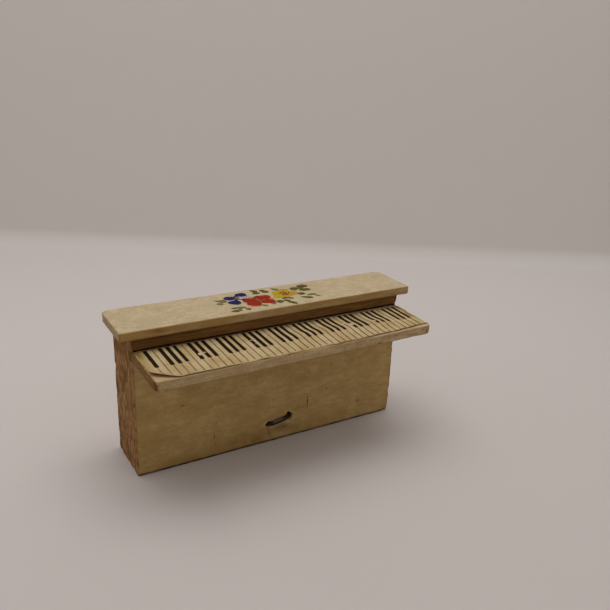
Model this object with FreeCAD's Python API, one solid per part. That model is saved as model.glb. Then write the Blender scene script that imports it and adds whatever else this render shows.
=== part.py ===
import FreeCAD, Part
import math
import os

# Miniature upright piano for a dolls' house, a hand-made wooden toy at about 1:16.
# It is a solid wooden block with a glued and pinned lid, a keyboard shelf let into a
# groove across its front, a printed paper keyboard on that shelf, and a wire staple
# driven into the front in place of pedals. Nothing on it moves.
#
# Millimetres. +X runs to the player's right, +Y from the keyboard towards the back, +Z up.
# The pieces are drawn with the foot of the block's front face at (0, 0, 0). They are then
# moved together, so that the origin is at the bottom centre of the whole object's box.

Vector = FreeCAD.Vector
X_AXIS = Vector(1, 0, 0)
Y_AXIS = Vector(0, 1, 0)
Z_AXIS = Vector(0, 0, 1)

# Block
BODY_LENGTH = 90.0
BODY_DEPTH = 18.3
BODY_HEIGHT = 43.5
HALF_LENGTH = BODY_LENGTH / 2

# Lid: overhangs the front and both ends, and stops short of the block's back. It was sawn
# deeper at its left end than at its right, and pinned on slightly askew.
LID_THICKNESS = 2.6
LID_END_OVERHANG = 3.5
LID_FRONT_OVERHANG = 1.35
LID_BACK_SETBACK_LEFT = 0.5
LID_BACK_SETBACK_RIGHT = 1.8
LID_SKEW = -0.34
LID_LEFT_CORNER_RADIUS = 2.9
LID_RIGHT_CORNER_RADIUS = 2.2
LID_ARRIS_RADIUS = 0.3

# Keyboard shelf: sawn a little out of parallel, and it droops towards the player.
SHELF_TOP = 39.4
SHELF_THICKNESS = 2.85
SHELF_DEPTH_LEFT = 18.75
SHELF_DEPTH_RIGHT = 18.25
SHELF_TONGUE = 3.0
SHELF_DROOP = 1.66
SHELF_LEFT_CORNER_RADIUS = 0.5
SHELF_RIGHT_CORNER_RADIUS = 1.5

# Printed paper: its edges keep a small margin inside the shelf's. The front left corner is
# torn off along a slant, and what is left there lifts about a fold line.
PAPER_THICKNESS = 0.15
PAPER_BACK_GAP = 0.1
PAPER_SIDE_MARGIN = 0.25
PAPER_FRONT_MARGIN_LEFT = 0.3
PAPER_FRONT_MARGIN_RIGHT = 1.1
TORN_ALONG_SIDE = 3.6
TORN_ALONG_FRONT = 5.8
CURL_ALONG_SIDE = 8.0
CURL_ALONG_FRONT = 8.5
CURL_ANGLE = 12.0
CURL_LAP = 0.12

# Staple
WIRE_RADIUS = 0.75
STAPLE_SPAN = 6.3
STAPLE_LEG = 6.0
STAPLE_BEND_RADIUS = 1.2
STAPLE_CROWN_OUT = 0.5
STAPLE_X = 1.05
STAPLE_Z = 7.0
STAPLE_TILT = 10.0

# Brads: length below the lid's top, and places measured from the block's ends and faces
BRAD_RADIUS = 0.4
BRAD_HEAD_RADIUS = 0.55
BRAD_HEAD_HEIGHT = 0.3
BRAD_LENGTH = 6.0
BRAD_LEFT = Vector(-HALF_LENGTH + 2.5, 1.3, 0)
BRAD_RIGHT = Vector(HALF_LENGTH - 1.4, BODY_DEPTH - 5.0, 0)

LID_TOP = BODY_HEIGHT + LID_THICKNESS
NEAR = 0.01


def plate(outline, low, high):
    """Upright prism between two heights, from a closed outline of (x, y) points."""
    points = [Vector(x, y, low) for x, y in outline]
    wire = Part.makePolygon(points + points[:1])
    return Part.Face(wire).extrude(Z_AXIS * (high - low))


def upright_edge(shape, x, y):
    """The vertical edge of a shape that stands at (x, y)."""
    for edge in shape.Edges:
        if all(math.hypot(v.X - x, v.Y - y) < NEAR for v in edge.Vertexes):
            return edge
    raise ValueError("no upright edge at %.2f, %.2f" % (x, y))


def edges_at_height(shape, height):
    """The edges of a shape that lie wholly at one height."""
    flat = []
    for edge in shape.Edges:
        box = edge.BoundBox
        if abs(box.ZMin - height) < NEAR and abs(box.ZMax - height) < NEAR:
            flat.append(edge)
    return flat


def lid_board():
    """Lid, with rounded back corners and a softened top arris, turned by its skew."""
    end = HALF_LENGTH + LID_END_OVERHANG
    front = -LID_FRONT_OVERHANG
    left = (-end, BODY_DEPTH - LID_BACK_SETBACK_LEFT)
    right = (end, BODY_DEPTH - LID_BACK_SETBACK_RIGHT)
    lid = plate([(-end, front), (end, front), right, left], BODY_HEIGHT, LID_TOP)
    lid = lid.makeFillet(LID_LEFT_CORNER_RADIUS, [upright_edge(lid, *left)])
    lid = lid.makeFillet(LID_RIGHT_CORNER_RADIUS, [upright_edge(lid, *right)])
    lid = lid.makeFillet(LID_ARRIS_RADIUS, edges_at_height(lid, LID_TOP))
    lid.rotate(Vector(0, BODY_DEPTH / 2, 0), Z_AXIS, LID_SKEW)
    return lid


def on_shelf(shape):
    """Take a shape drawn on a level shelf top at height 0 to the drooping shelf's place."""
    shape.rotate(Vector(0, 0, 0), X_AXIS, SHELF_DROOP)
    shape.translate(Z_AXIS * SHELF_TOP)
    return shape


def shelf_board():
    """Keyboard shelf with its tongue, which fills the groove in the block."""
    left = (-HALF_LENGTH, -SHELF_DEPTH_LEFT)
    right = (HALF_LENGTH, -SHELF_DEPTH_RIGHT)
    outline = [left, right, (HALF_LENGTH, SHELF_TONGUE), (-HALF_LENGTH, SHELF_TONGUE)]
    board = plate(outline, -SHELF_THICKNESS, 0)
    board = board.makeFillet(SHELF_LEFT_CORNER_RADIUS, [upright_edge(board, *left)])
    board = board.makeFillet(SHELF_RIGHT_CORNER_RADIUS, [upright_edge(board, *right)])
    return on_shelf(board)


def paper_sheet():
    """Keyboard paper: a thin flat sheet and the lifted flap beside its torn corner."""
    left = -HALF_LENGTH + PAPER_SIDE_MARGIN
    right = HALF_LENGTH - PAPER_SIDE_MARGIN
    front_left = -SHELF_DEPTH_LEFT + PAPER_FRONT_MARGIN_LEFT
    front_right = -SHELF_DEPTH_RIGHT + PAPER_FRONT_MARGIN_RIGHT
    fold_side = (left, front_left + CURL_ALONG_SIDE)
    fold_front = (left + CURL_ALONG_FRONT, front_left)
    back = -PAPER_BACK_GAP
    flat = plate(
        [fold_side, fold_front, (right, front_right), (right, back), (left, back)],
        0, PAPER_THICKNESS)

    fold = Vector(fold_front[0] - fold_side[0], fold_front[1] - fold_side[1], 0)
    fold.normalize()
    lap = fold.cross(Z_AXIS) * -CURL_LAP
    strip = [
        (fold_side[0] + lap.x, fold_side[1] + lap.y),
        (left, front_left + TORN_ALONG_SIDE),
        (left + TORN_ALONG_FRONT, front_left),
        (fold_front[0] + lap.x, fold_front[1] + lap.y),
    ]
    flap = plate(strip, 0, PAPER_THICKNESS)
    hinge = Vector(fold_side[0] + lap.x, fold_side[1] + lap.y, 0)
    flap.rotate(hinge, fold, -CURL_ANGLE)
    return on_shelf(flat.fuse(flap).removeSplitter())


def staple():
    """Wire staple: two legs along +Y into the block, and a crown across its front."""
    half = STAPLE_SPAN / 2
    bend = STAPLE_BEND_RADIUS
    crown = -STAPLE_CROWN_OUT
    slack = bend * (1 - math.sqrt(0.5))
    left_tip = Vector(-half, STAPLE_LEG, 0)
    left_start = Vector(-half, crown + bend, 0)
    left_mid = Vector(-half + slack, crown + slack, 0)
    left_end = Vector(-half + bend, crown, 0)
    right_start = Vector(half - bend, crown, 0)
    right_mid = Vector(half - slack, crown + slack, 0)
    right_end = Vector(half, crown + bend, 0)
    right_tip = Vector(half, STAPLE_LEG, 0)
    path = Part.Wire([
        Part.LineSegment(left_tip, left_start).toShape(),
        Part.Arc(left_start, left_mid, left_end).toShape(),
        Part.LineSegment(left_end, right_start).toShape(),
        Part.Arc(right_start, right_mid, right_end).toShape(),
        Part.LineSegment(right_end, right_tip).toShape(),
    ])
    section = Part.Wire([Part.Circle(left_tip, Y_AXIS, WIRE_RADIUS).toShape()])
    wire = path.makePipeShell([section], True, True)
    wire.rotate(Vector(0, 0, 0), Y_AXIS, -STAPLE_TILT)
    wire.translate(Vector(STAPLE_X, 0, STAPLE_Z))
    return wire


def brad(place):
    """Brad with a small flat head, driven down flush with the lid's top."""
    head = Part.makeCylinder(BRAD_HEAD_RADIUS, BRAD_HEAD_HEIGHT,
                             place + Z_AXIS * (LID_TOP - BRAD_HEAD_HEIGHT))
    shank = Part.makeCylinder(BRAD_RADIUS, BRAD_LENGTH - BRAD_HEAD_HEIGHT,
                              place + Z_AXIS * (LID_TOP - BRAD_LENGTH))
    return head.fuse(shank)


def block():
    """The block before anything is let into it or driven into it."""
    return Part.makeBox(BODY_LENGTH, BODY_DEPTH, BODY_HEIGHT, Vector(-HALF_LENGTH, 0, 0))


def build():
    """All the pieces by node name, with every fitting cut out of the wood that holds it."""
    lid = lid_board()
    shelf = shelf_board()
    wire = staple()
    brads = [brad(BRAD_LEFT), brad(BRAD_RIGHT)]
    return {
        "case_block": block().cut([shelf, wire] + brads),
        "lid": lid.cut(brads),
        "keyboard_shelf": shelf,
        "keyboard_paper": paper_sheet(),
        "pedal_staple": wire,
        "lid_brads": Part.Compound(brads),
    }


def export(pieces):
    """Put the origin at the bottom centre of the object's box, and write each piece."""
    box = Part.Compound(list(pieces.values())).optimalBoundingBox(False, False)
    origin = Vector(box.Center.x, box.Center.y, box.ZMin)
    os.makedirs("parts", exist_ok=True)
    for name, shape in pieces.items():
        shape.translate(-origin)
        shape.exportStep("parts/%s.step" % name)
        print("%-15s solids %d  valid %s  volume %9.2f mm3  box %s" % (
            name, len(shape.Solids), shape.isValid(), shape.Volume,
            shape.optimalBoundingBox(False, False)))
    print("origin moved by", origin)


export(build())
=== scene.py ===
import functools
import math

import bpy
import numpy as np
from mathutils import Matrix, Vector


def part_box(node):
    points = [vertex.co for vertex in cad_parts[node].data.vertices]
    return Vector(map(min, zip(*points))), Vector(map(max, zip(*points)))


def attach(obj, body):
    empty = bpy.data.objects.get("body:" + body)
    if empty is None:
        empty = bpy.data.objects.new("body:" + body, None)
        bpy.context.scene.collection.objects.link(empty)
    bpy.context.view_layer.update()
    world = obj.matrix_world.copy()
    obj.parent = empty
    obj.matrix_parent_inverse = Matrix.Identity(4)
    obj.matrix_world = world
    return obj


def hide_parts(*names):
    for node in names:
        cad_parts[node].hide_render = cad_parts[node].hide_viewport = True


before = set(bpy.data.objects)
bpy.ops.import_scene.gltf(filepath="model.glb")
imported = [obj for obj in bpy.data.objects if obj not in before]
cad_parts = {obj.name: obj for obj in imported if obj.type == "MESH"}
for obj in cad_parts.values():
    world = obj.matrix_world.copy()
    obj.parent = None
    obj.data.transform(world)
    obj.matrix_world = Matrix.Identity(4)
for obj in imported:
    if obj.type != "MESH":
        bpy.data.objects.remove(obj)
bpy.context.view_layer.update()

# A hand-made wooden toy piano, worn and a little crooked.
#
# Every size below is in millimetres, in the block's own coordinates: x from the middle of
# its length, y from its front face towards the back, z from the table. ORIGIN carries them
# to the row frame, and comes from the frame's own box of the block. The last number given to a
# noise is its seed.

MM = 0.001
block_low, block_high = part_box("case_block")
ORIGIN = np.array([(block_low.x + block_high.x) / 2, block_low.y, block_low.z])
LENGTH, DEPTH, HEIGHT = ((block_high - block_low) / MM)[:]
HALF = LENGTH / 2

LID_THICKNESS = 2.6
LID_HALF = HALF + 3.5
LID_FRONT = -1.35
LID_BACK = DEPTH - 0.5
LID_BACK_RIGHT = DEPTH - 1.8
LID_SKEW = math.radians(-0.34)
LID_LEFT_RADIUS, LID_RIGHT_RADIUS, LID_FRONT_RADIUS = 2.9, 2.2, 0.3
LID_TOP = HEIGHT + LID_THICKNESS
PAINT_ROOM = 0.06

SHELF_TOP = 39.4
SHELF_THICKNESS = 2.85
SHELF_LEFT_DEPTH = 18.75
SHELF_RIGHT_DEPTH = 18.25
SHELF_TONGUE = 3.0
SHELF_DROOP = math.radians(1.66)
SHELF_LEFT_RADIUS, SHELF_RIGHT_RADIUS = 0.5, 1.5

PAPER_THICKNESS = 0.13

STAPLE_X, STAPLE_Z = 1.05, 7.0
STAPLE_TILT = math.radians(10)
STAPLE_SPAN = 6.3
STAPLE_WIRE = 0.75
STAPLE_OUT = 0.5
STAPLE_BEND = 1.2
STAPLE_SIDES = 20

BRADS = ((-HALF + 2.5, 1.3), (HALF - 1.4, DEPTH - 5.0))


# ---------------- numbers and noise

def spaced(*spans):
    """Grid lines from (start, end, step) spans laid end to end."""
    lines = [spans[0][0]]
    for start, end, step in spans:
        count = max(1, round((end - start) / step))
        lines.extend(start + (end - start) * (i + 1) / count for i in range(count))
    return np.array(lines)


def fine_ended(low, high, margin, fine, coarse):
    """Grid lines from low to high, closer together within a margin of either end."""
    return spaced((low, low + margin, fine), (low + margin, high - margin, coarse),
                  (high - margin, high, fine))


def ease(value, low, high):
    """0 below low, 1 above high, and a smooth step between them."""
    t = np.clip((value - low) / (high - low), 0, 1)
    return t * t * (3 - 2 * t)


def corner_value(cell, seed):
    """Repeatable value from -1 to 1 at each whole-number lattice corner."""
    mask = np.uint64(0xFFFFFFFF)
    c = cell.astype(np.int64).astype(np.uint64)
    n = (c[:, 0] * np.uint64(73856093)) ^ (c[:, 1] * np.uint64(19349663))
    n = (n ^ (c[:, 2] * np.uint64(83492791)) ^ np.uint64(seed * 2654435761 + 97)) & mask
    for _ in range(2):
        n = ((n ^ (n >> np.uint64(15))) * np.uint64(2246822519)) & mask
    return (n ^ (n >> np.uint64(13))).astype(float) / float(0xFFFFFFFF) * 2 - 1


def value_noise(points, size, seed):
    """Smooth noise from -1 to 1 with lumps of about the given size, a number or one per axis."""
    cell = points / np.asarray(size, float)
    base = np.floor(cell)
    t = cell - base
    t = t * t * (3 - 2 * t)
    total = np.zeros(len(points))
    for step in np.ndindex(2, 2, 2):
        weight = np.prod(np.where(np.array(step) == 1, t, 1 - t), axis=1)
        total += weight * corner_value(base + step, seed)
    return total


def lumps(points, size, seed, octaves=3):
    """Several layers of value noise, each half the size and half the height of the last."""
    size = np.asarray(size, float)
    layers = [value_noise(points, size / 2 ** i, seed + i) / 2 ** i for i in range(octaves)]
    return sum(layers) / 1.5


def bell(distance, reach):
    """1 at no distance, falling off smoothly over the reach."""
    return np.exp(-(distance / reach) ** 2)


def largest(*fields):
    """The largest of several fields, point by point."""
    return functools.reduce(np.maximum, fields)


def front_distance(p, x, z, wide, tall):
    """Distance from (x, z) seen from the front, as a share of a half width and a half height."""
    return np.hypot((p[:, 0] - x) / wide, (p[:, 2] - z) / tall)


# ---------------- meshes

def lattice_solid(xs, ys, zs, hollows=()):
    """Points and outward quads of a box of grid cells, less the cells in each (low, high) hollow."""
    lines = [np.asarray(a, float) for a in (xs, ys, zs)]
    middles = np.meshgrid(*[(a[1:] + a[:-1]) / 2 for a in lines], indexing="ij")
    filled = np.ones(middles[0].shape, bool)
    for low, high in hollows:
        inside = [(m > a) & (m < b) for m, a, b in zip(middles, low, high)]
        filled &= ~(inside[0] & inside[1] & inside[2])
    padded = np.pad(filled, 1)
    counts = np.array([len(a) for a in lines])
    quads = []
    for axis in range(3):
        step_a, step_b = np.eye(3, dtype=int)[[(axis + 1) % 3, (axis + 2) % 3]]
        for side in (0, 1):
            beyond = np.roll(padded, 1 - 2 * side, axis)[1:-1, 1:-1, 1:-1]
            corner = np.argwhere(filled & ~beyond)
            corner[:, axis] += side
            ring = [corner, corner + step_a, corner + step_a + step_b, corner + step_b]
            if side == 0:
                ring.reverse()
            quads.append(np.stack(
                [(r[:, 0] * counts[1] + r[:, 1]) * counts[2] + r[:, 2] for r in ring], axis=1))
    quads = np.concatenate(quads)
    used, quads = np.unique(quads, return_inverse=True)
    index = np.stack(np.unravel_index(used, counts), axis=1)
    points = np.stack([lines[i][index[:, i]] for i in range(3)], axis=1)
    return points, quads.reshape(-1, 4)


def soften(points, radius):
    """Points with the box's edges rounded by a radius for each point, and how far each moved."""
    radius = radius[:, None]
    inner = np.clip(points, points.min(axis=0) + radius, points.max(axis=0) - radius)
    reach = points - inner
    length = np.linalg.norm(reach, axis=1)
    longest = np.abs(reach).max(axis=1)
    scale = np.where(length > 1e-9, longest / np.maximum(length, 1e-9), 1)
    moved = inner + reach * scale[:, None]
    return moved, np.linalg.norm(moved - points, axis=1)


def round_plan_corner(points, x, y, radius, middle):
    """Round the upright corner at (x, y) of a plate whose middle is at (0, middle)."""
    sign = np.sign([x, y - middle])
    inner = (x, y) - sign * radius
    reach = (points[:, :2] - inner) * sign
    here = (reach > 0).all(axis=1)
    length = np.linalg.norm(reach, axis=1)
    scale = np.where(here, reach.max(axis=1) / np.maximum(length, 1e-9), 1)
    moved = points.copy()
    moved[here, :2] = (inner + sign * reach * scale[:, None])[here]
    return moved


def sheet_faces(rows, columns):
    """Quads of a thin sheet: a grid of points for its underside, then the same for its top."""
    count = rows * columns
    index = np.arange(count).reshape(rows, columns)
    cell = np.stack([index[:-1, :-1], index[1:, :-1], index[1:, 1:], index[:-1, 1:]], axis=-1)
    cell = cell.reshape(-1, 4)
    rim = np.concatenate([index[:, 0], index[-1, 1:], index[-2::-1, -1], index[0, -2:0:-1]])
    ahead = np.roll(rim, -1)
    wall = np.stack([rim, ahead, ahead + count, rim + count], axis=1)
    return np.concatenate([cell + count, cell[:, ::-1], wall])


def ring_faces(rows, sides):
    """Faces of a closed bar of rings, one after another, with a cap at each end."""
    index = np.arange(rows * sides).reshape(rows, sides)
    beside = np.roll(index, -1, axis=1)
    walls = np.stack([index[:-1], index[1:], beside[1:], beside[:-1]], axis=-1)
    return [*walls.reshape(-1, 4), index[0], index[-1][::-1]]


def turn(points, angle, axis, about=(0, 0, 0)):
    """Points turned about an axis through a place."""
    matrix = np.array(Matrix.Rotation(angle, 3, axis))
    return (points - about) @ matrix.T + about


def make_object(name, points, faces, material):
    """A smooth mesh object from points in metres."""
    mesh = bpy.data.meshes.new(name)
    mesh.from_pydata(np.asarray(points).tolist(), [], [list(map(int, f)) for f in faces])
    mesh.polygons.foreach_set("use_smooth", [True] * len(mesh.polygons))
    mesh.materials.append(material)
    thing = bpy.data.objects.new(name, mesh)
    bpy.context.scene.collection.objects.link(thing)
    return thing


def make_piece(name, points, faces, material, slot, *replaces, **fields):
    """A piece from points in block coordinates, riding on the model's one body."""
    piece = make_object(name, points * MM + ORIGIN, faces, material)
    for key, values in fields.items():
        values = np.zeros(len(points)) + values
        piece.data.attributes.new(key, "FLOAT", "POINT").data.foreach_set("value", values)
    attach(piece, "root")
    if replaces:
        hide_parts(*replaces)


# ---------------- materials

def srgb(red, green, blue):
    """Linear colour from screen values out of 255."""
    parts = [c / 255 for c in (red, green, blue)]
    return [c / 12.92 if c <= 0.04045 else ((c + 0.055) / 1.055) ** 2.4 for c in parts] + [1.0]


class Shader:
    """Builds one node material. Any input takes a number, a colour or another node's output."""

    def __init__(self, name, roughness, specular=0.3):
        self.material = bpy.data.materials.new(name)
        self.material.use_nodes = True
        self.tree = self.material.node_tree
        self.surface = self.tree.nodes["Principled BSDF"]
        self.set(self.surface, "Roughness", roughness)
        self.set(self.surface, "Specular IOR Level", specular)
        self.coordinates = self.add("ShaderNodeTexCoord", {}).outputs["Object"]

    def add(self, kind, inputs, **settings):
        """A new node. Its inputs are a dictionary of numbers, colours or other nodes' outputs."""
        node = self.tree.nodes.new(kind)
        for key, value in settings.items():
            setattr(node, key, value)
        for key, value in inputs.items():
            self.set(node, key, value)
        return node

    def set(self, node, key, value):
        socket = node.inputs[key]
        if isinstance(value, bpy.types.NodeSocket):
            self.tree.links.new(value, socket)
        else:
            socket.default_value = value

    def place(self, stretch=(1, 1, 1)):
        """Coordinates in millimetres, multiplied per axis: a small number draws the pattern out."""
        scale = [s / MM for s in stretch]
        node = self.add("ShaderNodeMapping", {"Vector": self.coordinates, "Scale": scale})
        return node.outputs["Vector"]

    def field(self, name):
        return self.add("ShaderNodeAttribute", {}, attribute_name=name).outputs["Fac"]

    def noise(self, where, scale, detail=4, roughness=0.6, distortion=0):
        return self.add("ShaderNodeTexNoise", {
            "Vector": where, "Scale": scale, "Detail": detail, "Roughness": roughness,
            "Distortion": distortion}).outputs["Fac"]

    def span(self, value, low, high, start=0, end=1):
        """Start where the value is below low, end where it is above high, smooth between."""
        return self.add("ShaderNodeMapRange", {
            "Value": value, "From Min": low, "From Max": high, "To Min": start, "To Max": end,
        }, interpolation_type="SMOOTHSTEP").outputs["Result"]

    def mark(self, middle, size, ragged):
        """1 inside a small ragged ellipsoid in block coordinates, and 0 outside it."""
        node = self.add("ShaderNodeMapping", {
            "Vector": self.coordinates, "Scale": [1 / (MM * s) for s in size],
            "Location": [-(m + o / MM) / s for m, o, s in zip(middle, ORIGIN, size)]})
        length = self.add("ShaderNodeVectorMath", {0: node.outputs["Vector"]}, operation="LENGTH")
        return self.span(self.sway(ragged, 3.4, length.outputs["Value"]), 0.5, 1.25, 1, 0)

    def calc(self, operation, first, second=0.0):
        return self.add("ShaderNodeMath", {0: first, 1: second}, operation=operation).outputs[0]

    def times(self, *factors):
        return functools.reduce(lambda a, b: self.calc("MULTIPLY", a, b), factors)

    def plus(self, first, second):
        return self.calc("ADD", first, second)

    def minus(self, first, second):
        return self.calc("SUBTRACT", first, second)

    def sway(self, noise, reach, value):
        """A value pushed up and down by a noise that runs from 0 to 1."""
        return self.plus(value, self.times(self.minus(noise, 0.5), reach))

    def mix(self, amount, *colours):
        """From one colour to another. A colour is a socket, or screen values out of 255."""
        first, second = (srgb(*c) if isinstance(c, tuple) else c for c in colours)
        return self.add("ShaderNodeMix", {0: amount, 6: first, 7: second},
                        data_type="RGBA", clamp_result=True).outputs[2]

    def bump(self, height, depth, under=None):
        """Bump of a depth in millimetres, laid over another bump if one is given."""
        inputs = {"Height": height, "Distance": depth * MM, "Strength": 1.0}
        if under:
            inputs["Normal"] = under
        return self.add("ShaderNodeBump", inputs).outputs["Normal"]

    def finish(self, colour, normal=None, roughness=None):
        self.set(self.surface, "Base Color", colour)
        if normal:
            self.set(self.surface, "Normal", normal)
        if roughness:
            self.set(self.surface, "Roughness", roughness)
        return self.material


def painted_wood(name, paint, worn_paint, aged_paint, stain, red_stain, wood, dark_wood,
                 streaks, brushed, marks=()):
    """Old thin paint over wood, told where to change by fields that run from 0 to 1.

    raw bares the wood, aged browns the paint for age and as painted shade on upright
    faces, stained lays on brown for real stains and as painted shade on the fallboard,
    grime dirties it and paints shade along the block's foot, pale shows freshly torn
    fibres, and hole is near black for rusty pits and as painted shade in recesses and
    along the foot. streaks draws out the grain of the bare wood, and brushed the marks in the
    paint. Each mark is a small dark place: its middle, its size and its strength.
    """
    s = Shader(name, 0.6, 0.05)
    spot = s.place()

    grain = s.noise(s.place(streaks), 1.6, 6, 0.65, 0.3)
    blotch = s.noise(spot, 0.35, 4, 0.6)
    bare = s.mix(s.span(grain, 0.36, 0.64), dark_wood, wood)
    bare = s.mix(s.span(blotch, 0.42, 0.66, 0, 0.8), bare, dark_wood)
    bare = s.mix(s.span(blotch, 0.44, 0.3, 0, 0.5), bare, (144, 118, 88))

    cloud = s.noise(spot, 0.13, 6, 0.7)
    strokes = s.noise(s.place(brushed), 1.3, 5, 0.6)
    fleck = s.noise(spot, 2.4, 3, 0.6)
    coat = s.mix(s.span(cloud, 0.35, 0.68, 0, 0.85), paint, worn_paint)
    coat = s.mix(s.span(strokes, 0.4, 0.64, 0, 0.8), coat, worn_paint)
    # Browned paint: age, and painted shade on upright faces.
    old = s.sway(cloud, 0.5, s.field("aged"))
    coat = s.mix(s.span(old, 0.05, 1.0), coat, aged_paint)
    coat = s.mix(s.span(fleck, 0.54, 0.72, 0, 0.42), coat, dark_wood)

    ragged = s.noise(spot, 1.9, 5, 0.7)
    bared = s.sway(ragged, 0.9, s.field("raw"))
    bared = s.span(bared, 0.42, 0.58)
    colour = s.mix(bared, coat, bare)
    drawn = s.noise(s.place((0.09, 0.5, 1.5)), 1.5, 6, 0.65)
    # Brown laid on: real stains, and painted shade on the fallboard under the lid.
    varnish = s.mix(s.span(drawn, 0.38, 0.62), stain, red_stain)
    varnish = s.mix(s.span(cloud, 0.45, 0.7, 0, 0.5), varnish, dark_wood)
    colour = s.mix(s.field("stained"), colour, varnish)

    smear = s.plus(s.noise(spot, 0.7, 5, 0.65), strokes)
    # Dirt, and painted shade along the block's foot; also darker towards the front's bottom and on the
    # lid's underside.
    dirt = s.times(s.field("grime"), s.span(smear, 0.7, 1.2, 0.5, 1))
    colour = s.mix(dirt, colour, (66, 40, 22))
    splinter = s.times(s.field("pale"), s.span(ragged, 0.4, 0.6))
    colour = s.mix(splinter, colour, (206, 184, 150))
    # Near black: rust in the staple's pits, and painted shade in the groove, along the foot and at the
    # fallboard's end; a little darker at the brads and the shelf's right corner too.
    colour = s.mix(s.field("hole"), colour, (44, 15, 4))
    for middle, size, strength in marks:
        shade = s.times(s.mark(middle, size, ragged), strength)
        colour = s.mix(shade, colour, (62, 37, 15))

    normal = s.bump(strokes, 0.08)
    normal = s.bump(fleck, 0.05, normal)
    normal = s.bump(s.times(grain, bared), 0.18, normal)
    normal = s.bump(s.times(bared, -1), 0.06, normal)
    rough = s.span(s.plus(bared, s.times(cloud, 0.5)), 0.1, 1.2, 0.45, 0.9)
    return s.finish(colour, normal, rough)


def printed_paper():
    """Aged paper with the keyboard printed on it.

    Field key counts white keys from the left, so each whole number is the line between two
    keys. Field reach is the distance from the sheet's back edge. Field scuff rubs the print
    away, field yellow is old glue and handling, and field border is the line along the front.
    """
    s = Shader("printed_paper", 0.75, 0.06)
    spot = s.place()
    key = s.field("key")
    reach = s.field("reach")

    wander = s.noise(s.place((0.5, 0.25, 1)), 0.9, 3)
    line = s.calc("ROUND", key)
    aside = s.calc("ABSOLUTE", s.sway(wander, 0.09, s.minus(key, line)))
    chance = s.add("ShaderNodeTexWhiteNoise", {"W": line}, noise_dimensions="1D").outputs["Value"]
    in_group = s.calc("GREATER_THAN", s.calc("MODULO", s.plus(line, 3.0), 4.0), 0.5)
    black = s.calc("MAXIMUM", in_group, s.calc("LESS_THAN", line, 0.5))
    on_keys = s.times(s.calc("GREATER_THAN", key, -0.4), s.calc("LESS_THAN", key, 40.45))

    ragged = s.noise(spot, 3.0, 4, 0.7)
    edge = s.times(s.minus(ragged, 0.5), 0.1)
    half_width = s.plus(s.times(chance, 0.05), BLACK_KEY_HALF)
    inside = s.minus(s.plus(half_width, edge), aside)
    end = s.plus(s.times(chance, 0.45), BLACK_KEY_REACH)
    end = s.minus(s.plus(end, s.times(edge, 3)), reach)
    wear = s.span(s.sway(ragged, 0.8, s.field("scuff")), 0.45, 0.55)
    keep = s.times(s.minus(1.0, wear), on_keys)
    ink = s.times(s.span(inside, -0.02, 0.03), s.span(end, -0.08, 0.1), black, keep)

    fade = s.noise(s.place((1.2, 0.3, 1)), 0.8, 4, 0.7)
    stop = s.plus(s.times(chance, 0.8), WHITE_KEY_REACH)
    thin = s.times(
        s.span(aside, 0.06, 0.14, 1, 0), s.span(key, 2, 24, 0.72, 1),
        s.span(fade, 0.25, 0.6, 0.5, 1), s.span(s.minus(stop, reach), -0.1, 0.2), keep)

    cloud = s.noise(spot, 0.22, 5, 0.6)
    fibre = s.noise(s.place((0.4, 1.2, 1)), 2.2, 5, 0.65)
    tone = s.noise(s.place((0.48, 0.02, 0.02)), 1.0, 2, 0.5)
    paper = s.mix(s.span(cloud, 0.35, 0.68), PAPER_PALE, PAPER_DARK)
    paper = s.mix(s.span(tone, 0.35, 0.65, 0, 0.4), paper, PAPER_DARK)
    paper = s.mix(s.span(fibre, 0.5, 0.8, 0, 0.25), paper, (150, 120, 75))
    paper = s.mix(s.field("yellow"), paper, (150, 124, 62))
    paper = s.mix(s.times(wear, 0.5), paper, (206, 192, 168))
    thin = s.calc("MAXIMUM", thin, s.field("border"))
    colour = s.mix(s.times(thin, 0.95), paper, LINE_INK)
    colour = s.mix(s.times(ink, s.span(ragged, 0.3, 0.9, 1, 0.92)), colour, KEY_INK)
    # The sheet's underside, seen under the lifted corner, is painted warm brown: painted shade, warm as the
    # light through the paper.
    colour = s.mix(s.field("edge"), colour, (180, 130, 70))

    normal = s.bump(fibre, 0.03)
    normal = s.bump(ink, 0.015, normal)
    normal = s.bump(s.times(wear, -1), 0.05, normal)
    return s.finish(colour, normal, s.span(ink, 0, 1, 0.75, 0.62))


def rusty_wire():
    """Dark iron wire, with a painted highlight where field rubbed is and brown where field rust is."""
    s = Shader("staple_iron", 0.42, 0.4)
    spot = s.place()
    s.set(s.surface, "Metallic", 0.2)
    pits = s.noise(spot, 2.6, 5, 0.7)
    rust = s.sway(pits, 0.7, s.field("rust"))
    rust = s.span(rust, 0.35, 0.75)
    colour = s.mix(s.span(pits, 0.35, 0.7), (44, 36, 24), (28, 20, 10))
    colour = s.mix(rust, colour, (58, 24, 10))
    # Painted highlight: the top of the crown is coloured light.
    rubbed = s.times(s.field("rubbed"), s.span(pits, 0.2, 0.5))
    colour = s.mix(rubbed, colour, (112, 102, 80))
    normal = s.bump(pits, 0.1)
    return s.finish(colour, normal, s.span(rust, 0, 1, 0.38, 0.85))


def brad_metal():
    """Brad heads painted over with the lid, the dull metal showing where field worn says."""
    s = Shader("brad_heads", 0.6, 0.3)
    grit = s.noise(s.place(), 3.5, 4, 0.7)
    metal = s.mix(s.span(grit, 0.35, 0.65), (96, 82, 50), (64, 52, 32))
    painted = s.mix(s.span(grit, 0.35, 0.65), (186, 168, 132), (168, 148, 112))
    worn = s.sway(grit, 0.8, s.field("worn"))
    colour = s.mix(s.span(worn, 0.4, 0.6), painted, metal)
    return s.finish(colour, s.bump(grit, 0.05), s.span(grit, 0.3, 0.7, 0.45, 0.8))


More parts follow.
